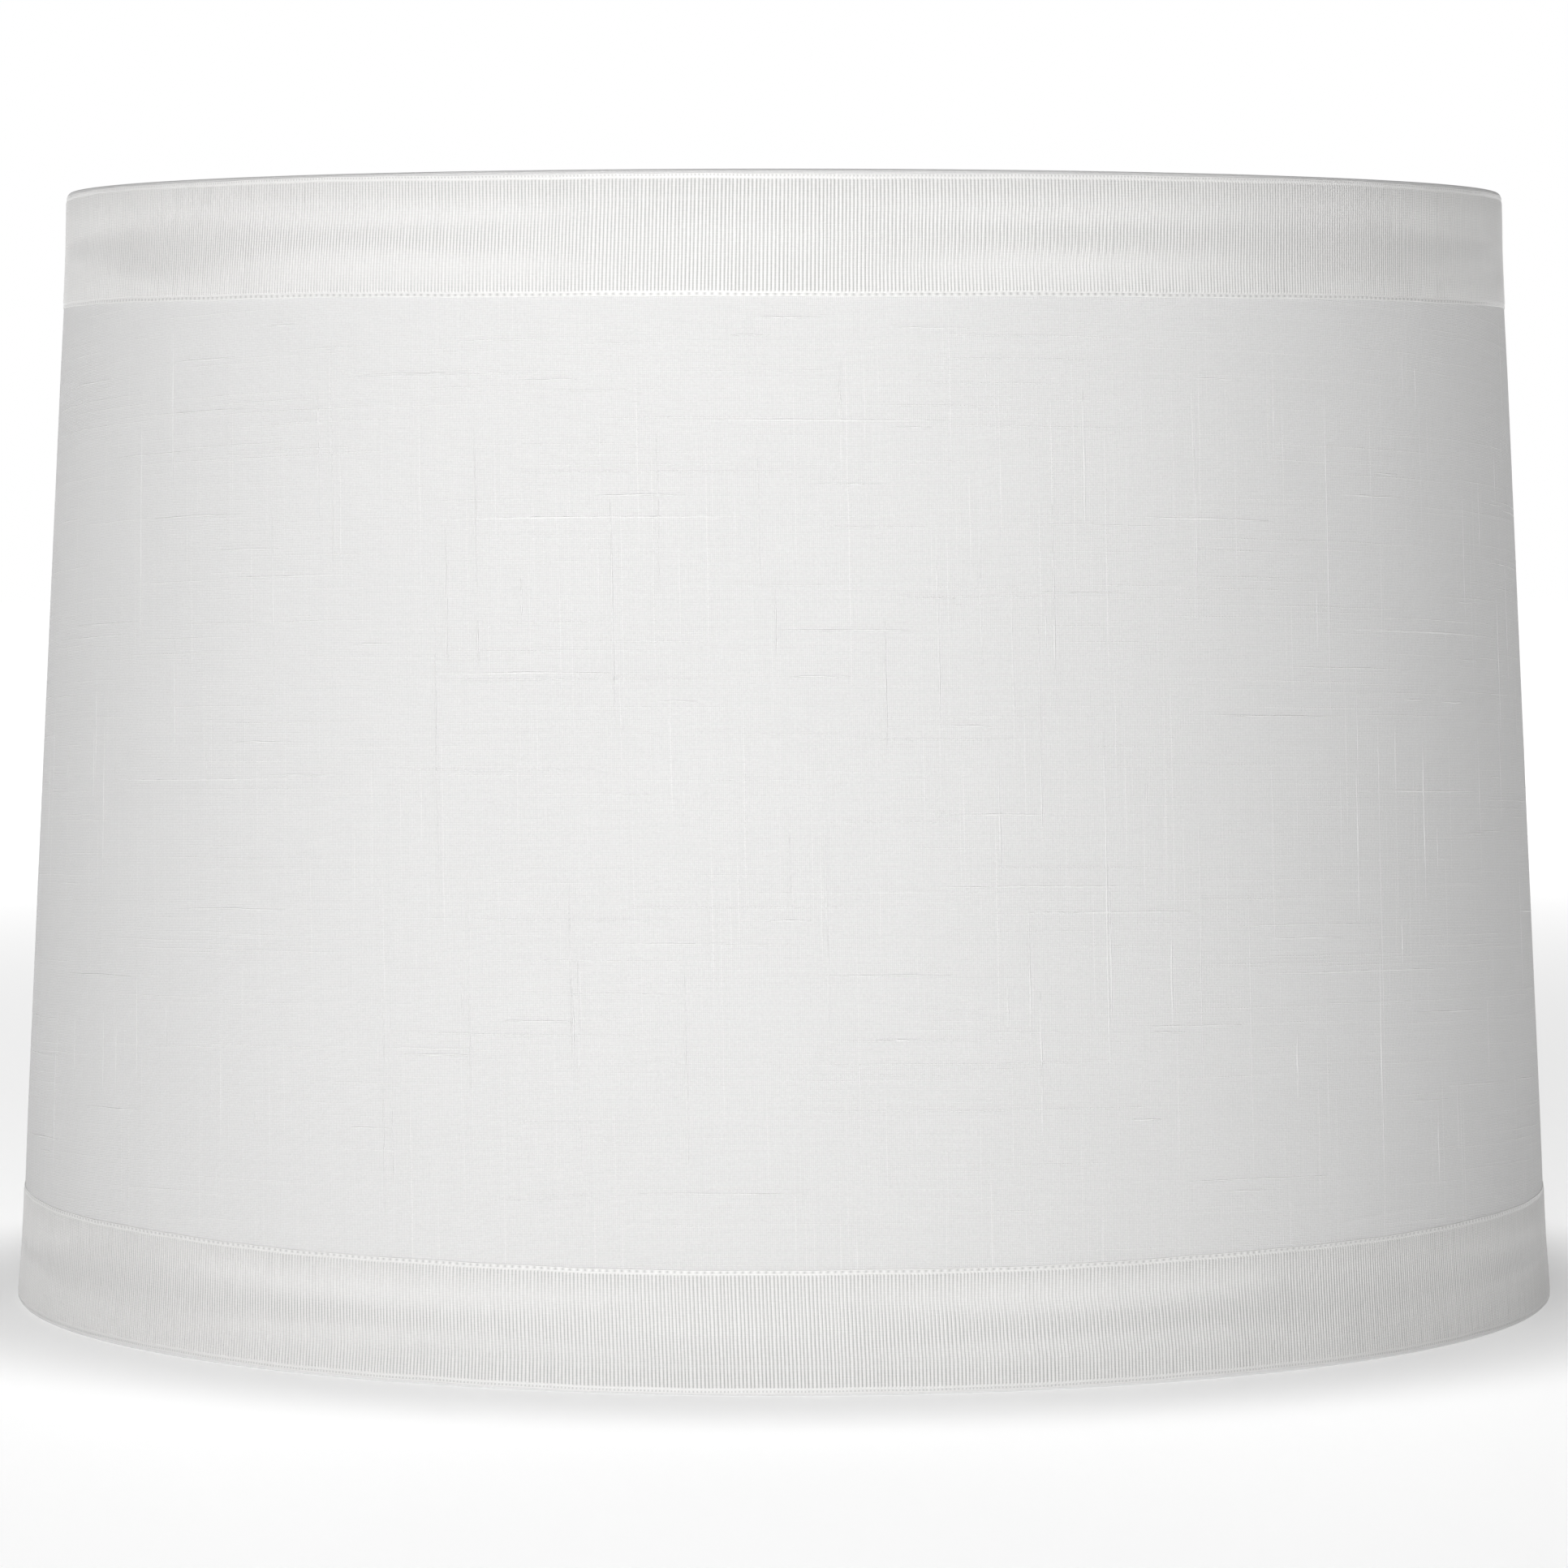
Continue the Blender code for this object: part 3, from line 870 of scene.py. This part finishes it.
def weld_piece(finish):
    """The weld of each arm to the hub and to the ring, as one piece."""
    spots = (
        (HUB_HIGH.x, ARM_LEVEL, (1.5 * MM, 1.5 * MM, 1.15 * MM)),
        (TOP_RING_OUT - WIRE / 2, HEIGHT - RING_DROP - WIRE / 2, (1.75 * MM, 1.75 * MM, 1 * MM)),
    )
    beads = []
    for azimuth in ARM_AZIMUTHS.values():
        around = math.radians(azimuth)
        for reach, up, size in spots:
            place = (reach * math.cos(around), reach * math.sin(around), up)
            beads.append(weld_bead(len(beads), place, size, finish))
    return joined("weld_beads", beads)


def hub_piece(finish):
    """Stamped washer: a rectangle with rounded corners turned about the axis."""
    low, high = HUB_LOW.z, HUB_HIGH.z
    soft = HUB_SOFT_EDGE
    outer, hole = HUB_HIGH.x - soft, HUB_HOLE + soft
    corners = (
        (outer, low + soft, -90), (outer, high - soft, 0),
        (hole, high - soft, 90), (hole, low + soft, 180),
    )
    flat = np.linspace(HUB_HIGH.x - 1 * MM, HUB_HOLE + 1 * MM, 8)
    section = []
    for x, z, first in corners:
        for angle in np.radians(np.linspace(first, first + 90, 5)):
            section.append((x + soft * math.cos(angle), z + soft * math.sin(angle)))
        if first == 0:
            section += [(r, high) for r in flat]
        if first == 180:
            section += [(r, low) for r in flat[::-1]]
    turn = np.linspace(0, TAU, 129)[:-1][:, None]
    radius, up = np.array(section).T[:, None]
    points = np.stack((radius * np.cos(turn), radius * np.sin(turn), up + 0 * turn), -1)
    return surface("washer", points, {}, finish, wrap_u=True, wrap_v=True)


# Operators


def settings():
    scene = bpy.context.scene
    return scene.shade_sizes, scene.shade_colours, scene.shade_stage


def finish_named(name, make):
    """A material by name, made the first time it is asked for."""
    return bpy.data.materials.get(name) or make()


def cloth_material():
    sizes, colours, _ = settings()
    return finish_named("slub_weave", lambda: cloth_finish("slub_weave", colours, sizes))


def wire_material():
    _, colours, _ = settings()
    grain = (900.0, 900.0, 60.0)
    return finish_named("plated_wire", lambda: wire_finish("plated_wire", colours, grain))


class SHADE_OT_cover(bpy.types.Operator):
    """Makes the cloth cover and the thick threads that stand out of it"""

    bl_idname = "shade.cover"
    bl_label = "Cloth cover"

    def execute(self, context):
        sizes, _, _ = settings()
        cover = sheet_piece("cover", 0.0, COVER_THICK, cloth_material())
        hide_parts("fabric_cover")
        slubs = slub_threads(sizes, cloth_material())
        angle = (TAU + LAP) * CONE_SINE
        top_slant = (BASE_RADIUS - SLOPE * HEIGHT) / CONE_SINE
        wide = 2 * BASE_SLANT * math.sin(angle / 2)
        long = BASE_SLANT - top_slant * math.cos(angle / 2)
        cut = (BASE_SLANT**2 - top_slant**2) / 2 * angle
        return {"FINISHED"}


class SHADE_OT_ribbons(bpy.types.Operator):
    """Makes the ribbed ribbons round both rims"""

    bl_idname = "shade.ribbons"
    bl_label = "Ribbons"

    def execute(self, context):
        sizes, colours, _ = settings()
        finish = ribbon_finish(colours, sizes)
        rims = (("bottom_ribbon", RIM_REVEAL, 1, 5), ("top_ribbon", HEIGHT - RIM_REVEAL, -1, 8))
        for node, rim_height, inward, seed in rims:
            piece = ribbon_piece(node + "_cloth", rim_height, inward, seed, sizes, finish)
            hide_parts(node)
            middle = BASE_RADIUS - SLOPE * (rim_height + inward * RIBBON_WIDTH / 2)
            length = TAU * middle + 12 * sizes.rib_pitch
        return {"FINISHED"}


class SHADE_OT_bindings(bpy.types.Operator):
    """Makes the cloth edges that are turned over both rims"""

    bl_idname = "shade.bindings"
    bl_label = "Edge bindings"

    def execute(self, context):
        for node, at_top in (("bottom_binding", False), ("top_binding", True)):
            piece = binding_piece(node + "_cloth", at_top, cloth_material())
            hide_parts(node)
            round_rim = TAU * (BASE_RADIUS - SLOPE * HEIGHT * at_top)
        return {"FINISHED"}


class SHADE_OT_liner(bpy.types.Operator):
    """Makes the stiff sheet behind the cloth and the tape in its lap"""

    bl_idname = "shade.liner"
    bl_label = "Liner"

    def execute(self, context):
        _, colours, _ = settings()
        finish = liner_finish(colours)
        outside = -COVER_THICK - FILM
        liner = sheet_piece("backing", outside, LINER_THICK, finish)
        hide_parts("liner")
        tape = tape_piece("lap_tape", tape_finish())
        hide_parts("seam_tape")
        return {"FINISHED"}


class SHADE_OT_frame(bpy.types.Operator):
    """Makes the wire rings, the spider's arms, their welds and the hub washer"""

    bl_idname = "shade.frame"
    bl_label = "Wire frame"

    def execute(self, context):
        _, colours, _ = settings()
        steel = wire_material()
        pieces = {
            "bottom_ring": ring_piece("bottom_wire", LOW_RING, 100, steel),
            "top_ring": ring_piece("top_wire", TOP_RING, 80, steel),
            "hub_washer": hub_piece(wire_finish("plated_washer", colours, (200.0, 1400.0, 200.0))),
        }
        for node, azimuth in ARM_AZIMUTHS.items():
            pieces[node] = arm_piece(node.replace("spider_", ""), azimuth, steel)
        for node, piece in pieces.items():
            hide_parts(node)
        weld_piece(wire_finish("weld_metal", colours, (500.0, 500.0, 500.0)))
        return {"FINISHED"}


def area_light(name, azimuth, elevation, distance, width, tall, power, aim):
    """A soft box that faces a point, placed by its angles round that point: azimuth 0 is in
    front of the shade and grows to the right."""
    light = bpy.data.lights.new(name, "AREA")
    light.shape = "RECTANGLE"
    light.size, light.size_y = width, tall
    light.energy = power
    lamp = bpy.data.objects.new(name, light)
    a, e = math.radians(azimuth), math.radians(elevation)
    away = np.array((math.sin(a) * math.cos(e), -math.cos(a) * math.cos(e), math.sin(e)))
    lamp.location = np.array(aim) + away * distance
    lamp.rotation_euler = (math.pi / 2 - e, 0, a)
    bpy.context.scene.collection.objects.link(lamp)
    return lamp


def white_room():
    """A world that looks white and lights the shade only faintly."""
    world = bpy.data.worlds.new("white_room")
    world.use_nodes = True
    tree = world.node_tree
    seen = tree.nodes.new("ShaderNodeLightPath").outputs["Is Camera Ray"]
    strength = tree.nodes.new("ShaderNodeMapRange")
    strength.inputs["To Min"].default_value = ROOM_LIGHT
    strength.inputs["To Max"].default_value = 1.0
    tree.links.new(seen, strength.inputs["Value"])
    tree.nodes["Background"].inputs["Color"].default_value = (1.0, 1.0, 1.0, 1.0)
    tree.links.new(strength.outputs[0], tree.nodes["Background"].inputs["Strength"])
    return world


def floor_piece():
    """Plain floor that glows faintly, with less of its glow under the rim and more of it
    far away, so that it meets the white room without an edge."""
    side = np.linspace(-FLOOR_REACH, FLOOR_REACH, 13)
    x, y = side[None, :] + 0 * side[:, None], -side[:, None] + 0 * side
    paper = Finish("pale_floor", (0.93, 0.93, 0.93), 0.9, Emission_Strength=1.0)
    across, along, _ = paper.split(paper.place())
    spot = across * across + along * along
    shadow = spot.between(0.020, 0.027) * (1.0 - spot.between(0.032, 0.055))
    glow = (1.0 - shadow * CONTACT_SHADE) * FLOOR_GLOW
    glow = glow + spot.between(0.4, 4.0) * (1.0 - FLOOR_GLOW)
    paper.feed("Emission Color", paper.join(glow, glow, glow))
    mottle = paper.noise(paper.place(), 9.0, 3.0) - 0.5
    paper.feed("Base Color", paper.shade(1.0 + mottle * 0.01))
    return surface("floor", np.stack((x, y, 0 * x), -1), {}, paper.material)


def front_camera(stage):
    """The camera in front of the shade, level with its upper half and tilted down a little."""
    lens = bpy.data.cameras.new("camera")
    lens.lens = stage.lens
    lens.sensor_width = 36.0
    camera = bpy.data.objects.new("camera", lens)
    camera.location = (0.0, -stage.distance, stage.eye_height)
    camera.rotation_euler = (math.pi / 2 - stage.tilt, 0, 0)
    bpy.context.scene.collection.objects.link(camera)
    return camera


class SHADE_OT_stage(bpy.types.Operator):
    """Makes the pale floor, the soft lights, the white room and the camera"""

    bl_idname = "shade.stage"
    bl_label = "Stage"

    def execute(self, context):
        scene = context.scene
        floor_piece()
        aim = (0.0, 0.0, HEIGHT / 2)
        for box in SOFT_BOXES:
            area_light(*box, aim)
        scene.world = white_room()
        scene.camera = front_camera(scene.shade_stage)
        scene.view_settings.view_transform = "Standard"
        return {"FINISHED"}


class SHADE_PT_panel(bpy.types.Panel):
    """Lists the shade's sizes, colours and makers."""

    bl_idname = "SHADE_PT_panel"
    bl_label = "Lamp shade"
    bl_space_type = "VIEW_3D"
    bl_region_type = "UI"
    bl_category = "Shade"

    def draw(self, context):
        for group in settings():
            for name in type(group).__annotations__:
                self.layout.prop(group, name)
        for maker in OPERATORS:
            self.layout.operator(maker.bl_idname)


GROUPS = {"shade_sizes": ShadeSizes, "shade_colours": ShadeColours, "shade_stage": StageSettings}
OPERATORS = (
    SHADE_OT_liner,
    SHADE_OT_cover,
    SHADE_OT_bindings,
    SHADE_OT_ribbons,
    SHADE_OT_frame,
    SHADE_OT_stage,
)


def register():
    for each in (*GROUPS.values(), *OPERATORS, SHADE_PT_panel):
        bpy.utils.register_class(each)
    for name, group in GROUPS.items():
        setattr(bpy.types.Scene, name, PointerProperty(type=group))


def unregister():
    for name in GROUPS:
        delattr(bpy.types.Scene, name)
    for each in (SHADE_PT_panel, *OPERATORS, *GROUPS.values()):
        bpy.utils.unregister_class(each)


def main():
    register()
    for maker in OPERATORS:
        group, name = maker.bl_idname.split(".")
        getattr(getattr(bpy.ops, group), name)()


if __name__ == "__main__":
    main()
